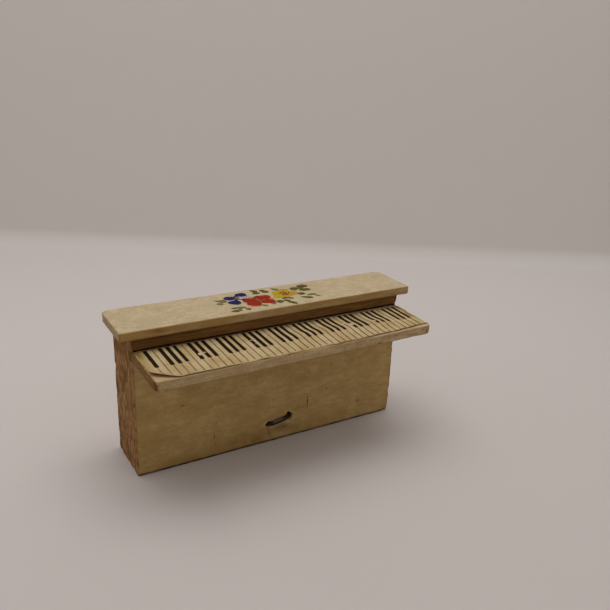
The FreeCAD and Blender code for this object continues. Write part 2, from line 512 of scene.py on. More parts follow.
def brushed_paint(name, thick, thin, accent):
    """Flower paint laid in one stroke. Field along runs down the stroke, field across over it."""
    s = Shader(name, 0.6, 0.06)
    hairs = s.add("ShaderNodeCombineXYZ", {
        "X": s.times(s.field("across"), 5.0), "Y": s.times(s.field("along"), 0.8),
        "Z": s.field("stroke")})
    streak = s.noise(hairs.outputs[0], 1.6, 4, 0.6)
    pool = s.noise(s.place(), 0.9, 3, 0.5)
    colour = s.mix(s.span(streak, 0.35, 0.7), thick, thin)
    colour = s.mix(s.span(pool, 0.55, 0.75, 0, 0.6), colour, accent)
    normal = s.bump(streak, 0.05)
    return s.finish(colour, normal, s.span(streak, 0.3, 0.7, 0.52, 0.75))


def studio_floor():
    """Pale matt tabletop with the faintest unevenness, with painted light and shade: darker near, lighter
    far, and a paler wall.
    """
    s = Shader("studio_floor", 0.85, 0.15)
    haze = s.noise(s.place(), 0.02, 3, 0.5)
    spot = s.add("ShaderNodeSeparateXYZ", {0: s.place()})
    # Painted light and shade: darker on the near floor, lighter behind the piano, for the overhead light's
    # fall-off.
    far = s.plus(s.span(spot.outputs["Y"], -130, 150), s.times(haze, 0.2))
    ground = s.mix(far, FLOOR_NEAR, FLOOR_FAR)
    # The wall is painted paler than the floor: painted light, in place of a lamp on it.
    return s.finish(s.mix(s.span(spot.outputs["Z"], 1, 9), ground, WALL_PALE))


# The floor's two colours and the wall's paleness stand in for light and shade across the stage.
FLOOR_NEAR = (206, 198, 194)
FLOOR_FAR = (215, 208, 205)
WALL_PALE = (222, 215, 210)
PAPER_PALE = (205, 184, 144)
PAPER_DARK = (184, 158, 112)
KEY_INK = (28, 14, 6)
LINE_INK = (58, 34, 14)
BLACK_KEY_HALF = 0.255
BLACK_KEY_REACH = 10.95
WHITE_KEY_REACH = 17.2


# ---------------- block

# The groove takes the shelf's tongue. The slot is a narrow dark gap left above the shelf, along
# the groove's mouth, and it stops short of both ends.
GROOVE_CLEARANCE = 0.02
GROOVE_DEPTH = SHELF_TONGUE + GROOVE_CLEARANCE
GROOVE_FLOOR = SHELF_TOP - SHELF_THICKNESS - GROOVE_CLEARANCE
GROOVE_ROOF = SHELF_TOP + GROOVE_CLEARANCE
SLOT_LEFT, SLOT_RIGHT = -44.6, 43.8
SLOT_DEPTH = 1.5
SLOT_ROOF = SHELF_TOP + 0.7

# Places on the block's edges where wood has broken away: x, y, z, reach and depth.
BLOCK_CHIPS = (
    (-HALF, 0, 32, 0.8, 0.5), (-HALF, 0, 25.5, 0.6, 0.4), (-HALF, 0, 17, 0.7, 0.35),
    (-HALF, 0, 10.5, 0.8, 0.4), (-HALF, 0, 1.8, 1.1, 0.35), (-HALF, DEPTH, 33, 0.9, 0.45),
    (-HALF, DEPTH, 28.5, 1, 0.55), (-HALF, DEPTH, 14, 1.4, 0.4), (HALF, 0, 39.9, 1, 1.3),
    (HALF, 0, 25, 0.8, 0.45), (HALF, 0, 21, 0.6, 0.35), (HALF, 0, 8, 1, 0.5),
    (HALF, 0, 0.8, 2.4, 0.9), (HALF, DEPTH, 20, 1.5, 0.5), (HALF, DEPTH, 3, 1.6, 0.6),
)

# Small dark dents in the painted front: x, z, half width, half height, darkness and depth.
FRONT_DENTS = (
    (11.9, 21.9, 0.45, 0.4, 0.45, 0.1), (20.3, 22.6, 0.3, 0.8, 0.4, 0.1), (19, 14.1, 0.45, 0.4, 0.55, 0.12),
    (-30.8, 19.9, 0.7, 0.3, 0.5, 0.1), (32, 6.7, 0.55, 0.5, 0.5, 0.12), (-21, 7, 0.22, 0.95, 0.6, 0.1),
    (-20.4, 11.3, 0.5, 0.6, 0.3, 0.05), (-2.3, 12.9, 0.35, 0.3, 0.5, 0.12),
    (-20.6, 4.5, 0.3, 0.5, 0.4, 0.05), (-2.5, 3.6, 0.3, 1.3, 0.45, 0.1), (3.4, 3.9, 0.9, 0.25, 0.35, 0.05),
    (11.75, 10.9, 0.2, 2.2, 1, 0.14), (39.2, 33.4, 0.6, 0.3, 0.4, 0.1),
)
# Dark bruises down the block's left and right front edges: height, half height, darkness.
LEFT_BRUISES = (
    (33.9, 0.9, 0.4), (23.2, 0.7, 0.6), (19.4, 1.1, 0.25), (15.4, 0.6, 0.6), (11.2, 1.3, 0.35),
    (8.6, 0.8, 0.5), (5.6, 1.1, 0.5), (3.9, 0.8, 0.6),
)
RIGHT_BRUISES = (
    (34, 0.5, 0.6), (25.4, 0.9, 0.9), (20.9, 0.8, 0.9), (16, 0.5, 0.7), (13.6, 0.4, 0.6),
    (9.6, 0.9, 0.8), (6.2, 0.5, 0.7), (2.8, 1.2, 0.8),
)
# Torn and dirty places near the left end's back edge: height, distance from the edge,
# half width, half height and darkness.
BACK_BRUISES = (
    (40.8, 0.8, 2.6, 1.4, 0.5), (33.6, 0.3, 1.7, 3.8, 0.6), (27.4, 1.4, 0.9, 0.9, 0.3),
    (21.6, 0.1, 1.1, 5.4, 0.5), (13.4, 1.1, 0.8, 1.1, 0.3), (7, 0.3, 1.8, 5.2, 0.5),
    (1.2, 1.2, 2.6, 1, 0.4),
)
# Reddish stains low on the front: x, z, half width, half height and strength.
FRONT_STAINS = (
    (-6.5, 1.6, 3.4, 2.4, 0.55), (-14, 2, 6, 2, 0.35), (2.2, 4.2, 3.4, 1.2, 0.5),
    (-1.8, 2.6, 0.9, 2, 0.4), (6.4, 3.2, 2.8, 1.5, 0.35), (-28, 1.2, 8, 1.4, 0.2),
)
# The ragged pits that the staple's legs tore in the front: x, z, half width and half height.
STAPLE_PITS = ((-2.3, 6.3, 1.05, 0.85), (4.95, 7.6, 1.15, 1.4))


def block_solid():
    """The block's grid, less the shelf's groove and the slot above it. Fine where it is worn."""
    xs = spaced((-HALF, SLOT_LEFT, 0.2), (SLOT_LEFT, -42, 0.35), (-42, -5, 0.9), (-5, 8, 0.25),
                (8, 42, 0.9), (42, SLOT_RIGHT, 0.35), (SLOT_RIGHT, HALF, 0.25))
    ys = spaced((0, SLOT_DEPTH, 0.3), (SLOT_DEPTH, GROOVE_DEPTH, 0.4),
                (GROOVE_DEPTH, DEPTH - 2, 0.6), (DEPTH - 2, DEPTH, 0.33))
    zs = spaced((0, 0.6, 0.15), (0.6, 4, 0.38), (4, 10, 0.25), (10, 13.5, 0.35),
                (13.5, GROOVE_FLOOR, 0.55), (GROOVE_FLOOR, GROOVE_ROOF, 0.5),
                (GROOVE_ROOF, SLOT_ROOF, 0.3), (SLOT_ROOF, HEIGHT, 0.37))
    groove = ((-HALF - 1, -1, GROOVE_FLOOR), (HALF + 1, GROOVE_DEPTH, GROOVE_ROOF))
    slot = ((SLOT_LEFT, -1, GROOVE_FLOOR), (SLOT_RIGHT, SLOT_DEPTH, SLOT_ROOF))
    return lattice_solid(xs, ys, zs, (groove, slot))


def staple_wounds(p, face):
    """Fields of the two pits in the front, and of the wood torn up around the staple."""
    px, _, pz = p.T
    hole = torn = np.zeros(len(p))
    for pit in STAPLE_PITS:
        away = front_distance(p, *pit) * (1 + 0.25 * value_noise(p, 0.8, 51))
        hole = np.maximum(hole, ease(away, 1.12, 0.88) * face)
        torn = np.maximum(torn, bell(away - 1.45, 0.4) * face * (0.6 + 0.5 * value_noise(p, 0.6, 53)))
    crown = STAPLE_Z + (px - STAPLE_X) * math.tan(STAPLE_TILT)
    lifted = bell(crown - STAPLE_WIRE - 0.3 - pz, 0.32) * ease(px, -2.2, -1.0) * ease(px, 4.6, 3.6)
    return hole, np.clip(np.maximum(torn, 1.4 * lifted * face), 0, 1)


def make_block(material):
    """The solid block, with sawn ends, broken edges, the shelf's groove and the staple's holes."""
    p, faces = block_solid()
    px, py, pz = p.T
    jagged = 1 + 0.5 * value_noise(p, 0.8, 21)
    wear = 0.22 + 0.22 * ease(lumps(p, (2.6, 2.6, 2.0), 11), 0.0, 0.7)
    wear = wear * (1 - 0.5 * ease(px, HALF - 3, HALF - 1))
    for x, y, z, reach, depth in BLOCK_CHIPS:
        away = np.linalg.norm((p - (x, y, z)) / (reach, reach, reach * 1.3), axis=1)
        wear += depth * bell(away, 1.0) * jagged
    q, moved = soften(p, wear)

    end = ease(np.abs(px), HALF - 0.9, HALF - 0.05)
    kerf = value_noise(p, (9, 0.55, 7), 31) * 0.12 + lumps(p, (9, 2.2, 5), 35) * 0.3
    kerf = (kerf + lumps(p, 1.1, 39, 2) * 0.18) * np.where(px > 0, 0.4, 1)
    q[:, 0] -= np.sign(px) * end * (0.02 + np.clip(kerf, 0, 0.45))
    for z in (GROOVE_FLOOR, GROOVE_ROOF):
        cut = (np.abs(pz - z) < 0.01) & (py < GROOVE_DEPTH + 0.01)
        q[cut, 2] += p[cut, 1] * math.tan(SHELF_DROOP)

    face = ease(py, 0.6, 0.0)
    hole, torn = staple_wounds(p, face)
    sunk = 0.05 + 0.04 * lumps(p, (12, 50, 9), 41) + 0.9 * hole - 0.18 * torn
    for x, z, wide, tall, _, depth in FRONT_DENTS:
        sunk += depth * bell(front_distance(p, x, z, max(wide, 0.5), tall), 1.2)
    q[:, 1] += face * sunk

    fallboard = face * ease(pz, SHELF_TOP - 0.2, SHELF_TOP + 0.4)
    sawn = 0.5 + 0.35 * ease(py, 0.5, 4.0) + 0.25 * lumps(p, (3, 2, 6), 45)
    raw = (1 - fallboard) * largest(
        end * sawn, ease(moved, 0.2, 0.4), ease(pz, 0.12, 0.0), ease(pz, HEIGHT - 0.3, HEIGHT),
        0.25 * ease(py, DEPTH - 0.3, DEPTH))
    # The fallboard band between the shelf and the lid is laid over with dark brown: dirty paint, and
    # painted shade under the lid.
    stained = 0.94 * fallboard
    for x, z, wide, tall, strength in FRONT_STAINS:
        away = front_distance(p, x, z, wide, tall) * (1 + 0.3 * value_noise(p, 1.6, 55))
        stained = np.maximum(stained, strength * bell(away, 1.0) * face)
    around = front_distance(p, STAPLE_X, STAPLE_Z - 2, 7, 3.4)
    # Darker towards the bottom of the front, with painted shade along its bottom edge; the sawn ends and
    # the paint around the staple are dirtied.
    grime = largest(
        (0.06 * ease(pz, 16, 0) + 0.4 * ease(pz, 1.2, 0.4)) * face,
        0.3 * end * np.clip(lumps(p, (3, 3, 6), 47), 0, 1), 0.22 * bell(around, 1.0) * face)
    # The groove and the slot are painted near black: painted shade in the recess, with some dirt.
    in_groove = ((py > 0.05) & (py < GROOVE_DEPTH + 0.01) & (pz > GROOVE_FLOOR - 0.01)
                 & (pz < SLOT_ROOF + 0.01) & (np.abs(px) < HALF - 0.5))
    hole = hole * np.where(px > 3.6, 0.9 + 0.1 * ease(pz, 6.4, 7.4), 1)
    # Painted contact shadow: a near-black line along the bottom of the front.
    foot = ease(pz, 0.72, 0.4) * face * (0.85 + 0.3 * value_noise(p, 2.2, 49))
    # Painted shade at the fallboard's right end, under the lid's overhang; the fallboard also darkens
    # towards its left end.
    shut = (0.9 * ease(px, HALF - 0.9, HALF - 0.5) + 0.3 * ease(px, -18, -38)) * fallboard
    hole = np.maximum(np.clip(largest(hole, foot, shut), 0, 1), 0.97 * in_groove)
    # The front's paint is browned, more towards the bottom and less to the right: aged paint, and painted
    # shade on the upright face. The sawn ends are browned too.
    aged = face * (0.12 + 0.22 * ease(pz, 36, 6) + 0.15 * ease(pz, 9, 2) - 0.1 * ease(px, 0, 30)
                   + 0.25 * lumps(p, (9, 9, 5), 48))
    aged = np.clip(np.maximum(aged, 0.9 * end), 0, 1)
    make_piece("block", q, faces, material, "case_wood", "case_block", raw=raw, grime=grime,
               hole=hole, aged=aged, stained=stained, pale=0.8 * torn)


def block_marks():
    """The small dark places on the block's paint and edges: middle, size and strength."""
    marks = [((x, 0, z), (wide, 0.5, tall), dark) for x, z, wide, tall, dark, _ in FRONT_DENTS]
    marks += [((-HALF, 0.5, z), (0.4, 1.0, tall), dark) for z, tall, dark in LEFT_BRUISES]
    marks += [((HALF, 0.0, z), (0.55, 0.8, tall), dark) for z, tall, dark in RIGHT_BRUISES]
    marks += [((-HALF, DEPTH - in_from, z), (0.6, wide, tall), dark)
              for z, in_from, wide, tall, dark in BACK_BRUISES]
    return marks + [((-HALF, 9.0, z), (0.6, 1.6, 3.0), 0.35) for z in (5.0, 29.0, 38.0)]


# ---------------- lid

def make_lid(material):
    """The lid: a flat board with worn arrises, rounded back corners and rough sawn ends."""
    xs = fine_ended(-LID_HALF, LID_HALF, 4, 0.35, 0.75)
    ys = spaced((LID_FRONT, LID_FRONT + 1.5, 0.3), (LID_FRONT + 1.5, LID_BACK - 3.5, 0.6),
                (LID_BACK - 3.5, LID_BACK, 0.35))
    zs = spaced((HEIGHT, LID_TOP - PAINT_ROOM, 0.28))
    p, faces = lattice_solid(xs, ys, zs)
    px, py, pz = p.T
    wear = 0.12 + 0.2 * ease(lumps(p, (3.5, 3.5, 3), 61), 0.1, 0.8)
    wear = wear + 0.08 * ease(np.abs(px), LID_HALF - 1.5, LID_HALF)
    q, moved = soften(p, wear)
    for x, y, radius in ((-LID_HALF, LID_BACK, LID_LEFT_RADIUS), (LID_HALF, LID_BACK, LID_RIGHT_RADIUS),
                         (-LID_HALF, LID_FRONT, LID_FRONT_RADIUS), (LID_HALF, LID_FRONT, LID_FRONT_RADIUS)):
        q = round_plan_corner(q, x, y, radius, (LID_FRONT + LID_BACK) / 2)
    share = (q[:, 0] + LID_HALF) / (2 * LID_HALF)
    narrowing = 1 + (LID_BACK_RIGHT - LID_BACK) / (LID_BACK - LID_FRONT) * share
    q[:, 1] = LID_FRONT + (q[:, 1] - LID_FRONT) * narrowing

    top = ease(pz, LID_TOP - 0.6, LID_TOP - PAINT_ROOM)
    end = ease(np.abs(px), LID_HALF - 0.8, LID_HALF - 0.05)
    front = ease(py, LID_FRONT + 0.5, LID_FRONT)
    pit = largest(*[ease(np.hypot(px - x, py - y), 0.8, 0.45) * top for x, y in BRADS])
    q[:, 0] -= np.sign(px) * end * np.clip(0.1 + 0.12 * lumps(p, (5, 1.2, 0.9), 65), 0.02, 1)
    q[:, 1] += front * np.clip(0.04 + 0.07 * lumps(p, (6, 4, 1.2), 67), 0, 1)
    q[:, 2] -= top * (0.02 + 0.02 * lumps(p, (14, 6, 9), 69) + 0.12 * pit)

    raw = np.maximum(ease(moved, 0.2, 0.4) * 0.6, end * (0.34 + 0.25 * lumps(p, (2, 2, 2), 73)))
    # Darker on the underside, and dirtier on the sawn ends.
    grime = np.maximum(0.3 * ease(pz, HEIGHT + 0.5, HEIGHT), 0.2 * end)
    spill = bell(front_distance(p, -37.6, HEIGHT + 1.6, 1, 0.4), 2.0) * front
    # Browner along the front edge, more so to the left: aged paint, and painted shade on the upright face.
    # The ends and the underside are browned too.
    browner = 0.92 + 0.12 * ease(px, -25, -40) - 0.16 * ease(px, 0, 40)
    aged = largest((browner + 0.55 * lumps(p, (7, 5, 1.2), 75)) * front, 0.5 * end,
                   0.7 * ease(pz, HEIGHT + 0.3, HEIGHT))
    make_piece("lid_board", turn(q, LID_SKEW, "Z", (0, DEPTH / 2, 0)), faces, material, "lid_wood",
               "lid", raw=raw, grime=grime, hole=0.1 * pit, aged=np.clip(aged, 0, 1),
               stained=0.7 * spill, pale=0)


# ---------------- shelf

# Small dark marks on the shelf's front edge: middle, size and darkness. The long thin one at x = -6, along
# the top arris, is a painted shadow under the paper's front edge.
SHELF_MARKS = (
    ((12.4, -18.4, 37.5), (0.2, 0.6, 0.6), 0.7), ((25.1, -18.4, 36.5), (0.9, 0.6, 0.25), 0.7),
    ((36.7, -18.2, 37), (1, 0.6, 0.25), 0.5), ((41.7, -18.2, 37.7), (0.6, 0.6, 0.3), 0.5),
    ((-44.8, -18.6, 36.1), (0.9, 0.7, 0.45), 0.9), ((-41.9, -18.7, 36.1), (0.7, 0.6, 0.3), 0.5),
    ((-6, -18.6, 38.9), (1.8, 0.5, 0.14), 0.6), ((31, -18.3, 37.9), (0.5, 0.6, 0.2), 0.5),
    ((39, -18.2, 36.9), (0.5, 0.6, 0.3), 0.6), ((43.2, -17.9, 37.2), (0.4, 0.6, 0.6), 0.6),
)


def shelf_depth(x):
    """How far the shelf's front edge stands out of the block at x."""
    share = (x + HALF) / LENGTH
    return SHELF_LEFT_DEPTH + (SHELF_RIGHT_DEPTH - SHELF_LEFT_DEPTH) * share


def on_shelf(points):
    """Points drawn on a level shelf top at height 0, moved to the drooping shelf."""
    return turn(points, SHELF_DROOP, "X") + (0, 0, SHELF_TOP)


def make_shelf(material):
    """The keyboard shelf and its tongue, sawn out of parallel, with a worn front edge."""
    nominal = SHELF_LEFT_DEPTH
    xs = fine_ended(-HALF, HALF, 4, 0.35, 0.8)
    ys = spaced((-nominal, -nominal + 3, 0.35), (-nominal + 3, 0, 0.75), (0, SHELF_TONGUE, 0.75))
    zs = spaced((-SHELF_THICKNESS, 0, 0.28))
    p, faces = lattice_solid(xs, ys, zs)
    px, py, pz = p.T
    wear = 0.18 + 0.25 * ease(lumps(p, (3, 3, 3), 81), 0.1, 0.8)
    wear = wear + 0.35 * ease(px, HALF - 2.5, HALF)
    wear = wear + (0.1 + 0.2 * value_noise(p, 0.9, 82)) * ease(px, -HALF + 1, -HALF)
    for z, reach, depth in ((-SHELF_THICKNESS, 1.6, 0.9), (0, 1.0, 0.3)):
        away = np.linalg.norm(p - (-HALF, -nominal, z), axis=1)
        wear += depth * bell(away, reach) * (1 + 0.4 * value_noise(p, 0.8, 83))
    q, moved = soften(p, wear)
    for x, radius in ((-HALF, SHELF_LEFT_RADIUS), (HALF, SHELF_RIGHT_RADIUS)):
        q = round_plan_corner(q, x, -nominal, radius, -nominal / 2)

    end = ease(np.abs(px), HALF - 0.7, HALF - 0.05)
    front = ease(py, -nominal + 0.5, -nominal)
    saw = 0.14 * lumps(p, (5, 1.4, 0.8), 85) + 0.12 * value_noise(p, 0.7, 86)
    saw = saw * ease(py, 0, -0.5) * np.where(px > 0, 0.5, 1)
    q[:, 0] -= np.sign(px) * end * np.clip(0.02 + saw, 0, 1)
    q[:, 1] += front * np.clip(0.03 + 0.09 * lumps(p, (7, 4, 1.3), 87), 0, 1)
    outside = q[:, 1] < 0
    q[outside, 1] *= (shelf_depth(q[:, 0]) / nominal)[outside]

    left_corner = np.hypot(px + HALF, py + nominal)
    right_corner = np.hypot(px - HALF, py + nominal)
    raw = largest(ease(moved, 0.24, 0.45), end * 0.36, ease(py, -0.1, 0.3),
                  0.9 * ease(left_corner, 1.1, 0.3) * ease(pz, -0.2, -0.9),
                  0.3 * ease(pz, -SHELF_THICKNESS + 0.2, -SHELF_THICKNESS))
    # Browner along the front edge: aged paint, and painted shade on the upright face. The ends and the
    # underside are browned too, and the front and ends are darkened a little.
    aged = largest(0.42 * front * (0.8 + 0.2 * ease(px, -30, 10)), 0.9 * end,
                   ease(pz, -SHELF_THICKNESS + 0.3, -SHELF_THICKNESS))
    stained = np.maximum(0.94 * end * np.where(px < 0, 1, 0.7),
                         0.9 * ease(left_corner, 1.4, 0.5) * ease(pz, -0.5, -1.0))
    dark = bell(right_corner, 2.0) * ease(pz, -0.1, -0.5)
    dark = np.clip(dark * (0.45 + 0.6 * value_noise(p, (0.7, 0.7, 0.4), 88)), 0, 1)
    make_piece("shelf_board", on_shelf(q), faces, material, "shelf_wood", "keyboard_shelf",
               raw=raw, grime=0.12 * front + 0.1 * end, hole=dark, aged=aged, stained=stained, pale=0)


# ---------------- paper

KEY_COUNT = 42
FIRST_LINE = -41.6
LEFT_PITCH, RIGHT_PITCH = 2.119, 2.065
PAPER_LEFT = -HALF + 0.25
TORN_SIDE, TORN_FRONT = 4.3, 7.0
CURL_SIDE, CURL_FRONT = 8.0, 8.5
CURL_HEIGHT = 2.6

# Where the print is rubbed or torn away: x, y, reach along x and along y, and strength.
SCUFFS = (
    (21.2, -8.3, 1.5, 1.2, 1), (19.4, -6.6, 1, 0.7, 0.8), (29.6, -9, 0.9, 0.5, 0.9),
    (-28.5, -8.2, 0.75, 1.1, 0.95), (-27, -7.7, 0.8, 0.45, 0.9), (-11.8, -5.8, 0.8, 0.4, 0.8),
    (-11.6, -8.6, 0.5, 0.5, 0.7), (-44.4, -5, 0.5, 1, 0.7),
)


def key_number(x):
    """White keys counted from the left, up to x. The print's pitch shrinks past its middle."""
    left = (x - FIRST_LINE) / LEFT_PITCH
    right = KEY_COUNT / 2 - 1 + (x - FIRST_LINE - (KEY_COUNT / 2 - 1) * LEFT_PITCH) / RIGHT_PITCH
    return np.where(left < KEY_COUNT / 2 - 1, left, right)


def paper_front(x):
    """The sheet's front edge: just inside the shelf's, torn off across the left corner.

    It is set back a little more towards the right end, where the sheet was cut short.
    """
    back = 0.3 * ease(x, 16, 34) + 0.75 * ease(x, 32, 42)
    wave = value_noise(np.stack([x, x * 0, x * 0], axis=1), 3.5, 91)
    share = np.clip((x - PAPER_LEFT) / TORN_FRONT, 0, 1)
    torn = TORN_SIDE * (1 - share ** 0.78) ** (1 / 0.78)
    return -shelf_depth(x) + 0.32 + back + 0.14 * wave + torn


def paper_back(x):
    """The sheet's back edge, which leaves the block towards the right end."""
    return -0.25 - 0.95 * ease(x, 8, 40)


def paper_height(x, y):
    """Height of the sheet's underside above the shelf's top."""
    p = np.stack([x, y, x * 0], axis=1)
    ridge = 0.42 * bell(y + 10.0 + 1.2 * value_noise(p, 14, 93), 3.2)
    ridge = ridge * ease(x, -6, 8) * ease(x, 40, 31) * (1 + 0.3 * value_noise(p, 6, 94))
    wrinkle = 0.07 * np.clip(lumps(p, (5, 3, 1), 95), 0, 1)
    corner = (x - PAPER_LEFT) / CURL_FRONT + (y + shelf_depth(x)) / CURL_SIDE
    lift = np.clip(1 - corner, 0, None)
    loose = ease(y - paper_front(x), 1.0, 0.0) * np.clip(value_noise(p, (4.5, 9, 1), 96) + 0.1, 0, 1)
    return 0.02 + ridge + wrinkle + 0.22 * loose + CURL_HEIGHT * lift ** 1.35


def make_paper(material):
    """The printed keyboard strip: a thin sheet, wrinkled, lifted at one corner and torn at its end."""
    across = np.linspace(-1, 1, 301)
    down = np.concatenate([[0, 0.02], np.linspace(0.05, 0.95, 46), [0.98, 1]])
    s, t = (a.ravel() for a in np.meshgrid(across, down, indexing="ij"))
    x = s * -PAPER_LEFT
    y = paper_back(x) + (paper_front(x) - paper_back(x)) * t
    shape = np.stack([x, y, x * 0], axis=1)
    torn = ease(s, -0.985, -1.0) * (0.25 + 0.5 * np.clip(lumps(shape, 1.6, 97, 3), -0.4, 1))
    torn = torn + 0.4 * bell(y + 2.0, 1.3) * ease(s, -0.98, -1.0)
    trimmed = ease(s, 0.985, 1.0) * np.clip(0.16 + 0.3 * value_noise(shape, 1.7, 98), 0, 1)
    x = x + np.clip(torn, 0, 0.9) - trimmed
    under = np.stack([x, y, paper_height(x, y)], axis=1)
    faces = sheet_faces(len(across), len(down))[:, [0, 3, 2, 1]]

    scuff = np.zeros(len(x))
    for sx, sy, wide, deep, strength in SCUFFS:
        away = np.hypot((x - sx) / wide, (y - sy) / deep)
        scuff = np.maximum(scuff, strength * bell(away, 0.9))
    ripple = 0.5 * value_noise(np.stack([y, 0 * y, 0 * y], axis=1), 1.6, 99)
    yellow = (0.95 * ease(x + ripple, 42.7, 43.5) * ease(y, -13, -9) + 0.35 * ease(x, -42.6, -43.8)
              + 0.85 * bell(x + 43.9, 1.5) * bell(y + 2.2, 3) + 0.3 * ease(t, 0.96, 1.0))
    border = ease(t, 0.955, 0.985) * (0.25 + 0.65 * ease(x, -10, 28))
    border = border * (0.7 + 0.5 * value_noise(np.stack([x, 0 * x, 0 * x], axis=1), 1.9, 90))
    fields = {"key": key_number(x), "reach": -y, "scuff": scuff,
              "yellow": np.clip(yellow, 0, 1), "border": np.clip(border, 0, 1)}
    both = {name: np.tile(values, 2) for name, values in fields.items()}
    # Field edge marks the sheet's underside, painted brown as painted shade under the lifted corner.
    edge = np.repeat([1.0, 0.0], len(x))
    points = np.concatenate([under, under + (0, 0, PAPER_THICKNESS)])
    make_piece("paper_keyboard", on_shelf(points), faces, material, "printed_paper",
               "keyboard_paper", edge=edge, **both)


# ---------------- staple and brads

def staple_path():
    """The wire's centre line: leg, bend, crown, bend, leg, level and centred on x = 0."""
    half, bend, out = STAPLE_SPAN / 2, STAPLE_BEND, -STAPLE_OUT
    leg = [(-half, y, 0) for y in np.linspace(5.8, out + bend, 12)[:-1]]
    arc = [(-half + bend * (1 - math.cos(a)), out + bend * (1 - math.sin(a)), 0)
           for a in np.linspace(0, math.pi / 2, 10)]
    crown = [(x, out, 0) for x in np.linspace(-half + bend, half - bend, 22)[1:-1]]
    left = np.array(leg + arc + crown)
    right = np.array(leg + arc)[::-1] * (-1, 1, 1)
    return np.concatenate([left, right])


def make_staple(material):
    """The wire staple: hammered, slightly bowed, and thinned by rust towards its legs."""
    path = staple_path()
    share = np.linspace(-1, 1, len(path))
    wobble = value_noise(path, 1.7, 101)
    path[:, 2] += 0.1 * value_noise(path + 7, 3.0, 103)
    radius = STAPLE_WIRE * (1 + 0.06 * wobble) * (1 - 0.18 * ease(np.abs(share), 0.5, 1.0))
    ahead = np.gradient(path, axis=0)
    ahead /= np.linalg.norm(ahead, axis=1)[:, None]
    side = np.cross(ahead, (0, 0, 1.0))
    side /= np.linalg.norm(side, axis=1)[:, None]
    turns = np.linspace(0, 2 * math.pi, STAPLE_SIDES, endpoint=False)[None, :, None]
    ring = np.cos(turns) * side[:, None] + np.sin(turns) * np.cross(side, ahead)[:, None]
    points = (path[:, None] + ring * radius[:, None, None]).reshape(-1, 3)
    points = points + 0.06 * np.stack([value_noise(points, 0.9, 105 + i) for i in range(3)], axis=1)
    flat = -STAPLE_OUT - 0.35
    crown = points[:, 1] < flat
    points[crown, 1] = flat + (points[crown, 1] - flat) * 0.6
    px, py, pz = points.T
    rust = np.maximum(ease(np.abs(px), STAPLE_SPAN / 2 - 1.3, STAPLE_SPAN / 2 - 0.2),
                      ease(py, -0.2, 0.6))
    # Painted highlight along the top of the crown's left half.
    rubbed = ease(pz, 0.3, 0.55) * ease(px, -2.4, -1.7) * ease(px, 1.9, 0.6)
    points = turn(points, -STAPLE_TILT, "Y") + (STAPLE_X, 0, STAPLE_Z)
    make_piece("staple_wire", points, ring_faces(len(path), STAPLE_SIDES), material,
               "staple_steel", "pedal_staple", rust=rust, rubbed=rubbed)


def make_brads(material):
    """Two brads with small domed heads, sunk a little below the lid's top."""
    radii = np.array([0.06, 0.38, 0.38, 0.5, 0.52, 0.42, 0.2, 0.04])[:, None]
    heights = np.array([-5.8, -5.2, -0.3, -0.25, -0.12, -0.03, 0, 0.01])[:, None]
    heights = heights + LID_TOP - PAINT_ROOM - 0.12
    turns = np.linspace(0, 2 * math.pi, 24, endpoint=False)
    points, faces, worn = [], [], []
    for (x, y), wear in zip(BRADS, (1.0, 0.75)):
        ring = (x + radii * np.cos(turns), y + radii * np.sin(turns), heights + 0 * turns)
        faces += [f[::-1] + len(worn) for f in ring_faces(len(radii), len(turns))]
        points.append(np.stack(ring, axis=-1).reshape(-1, 3))
        away = np.hypot((points[-1][:, 0] - x) * 0.8, points[-1][:, 1] - y)
        worn += list(wear * ease(away, 0.45, 0.1))
    make_piece("brad_heads", np.concatenate(points), faces, material, "brad_steel", "lid_brads",
               worn=np.array(worn))


# ---------------- flowers

# How a stroke narrows towards its ends: leaves come to points, petals stay blunt.
LEAF_SHAPE = (2.0, 0.75)
PETAL_SHAPE = (2.7, 0.55)


# Rows and columns of points in one stroke.
DAUB_ROWS, DAUB_COLUMNS = 17, 9

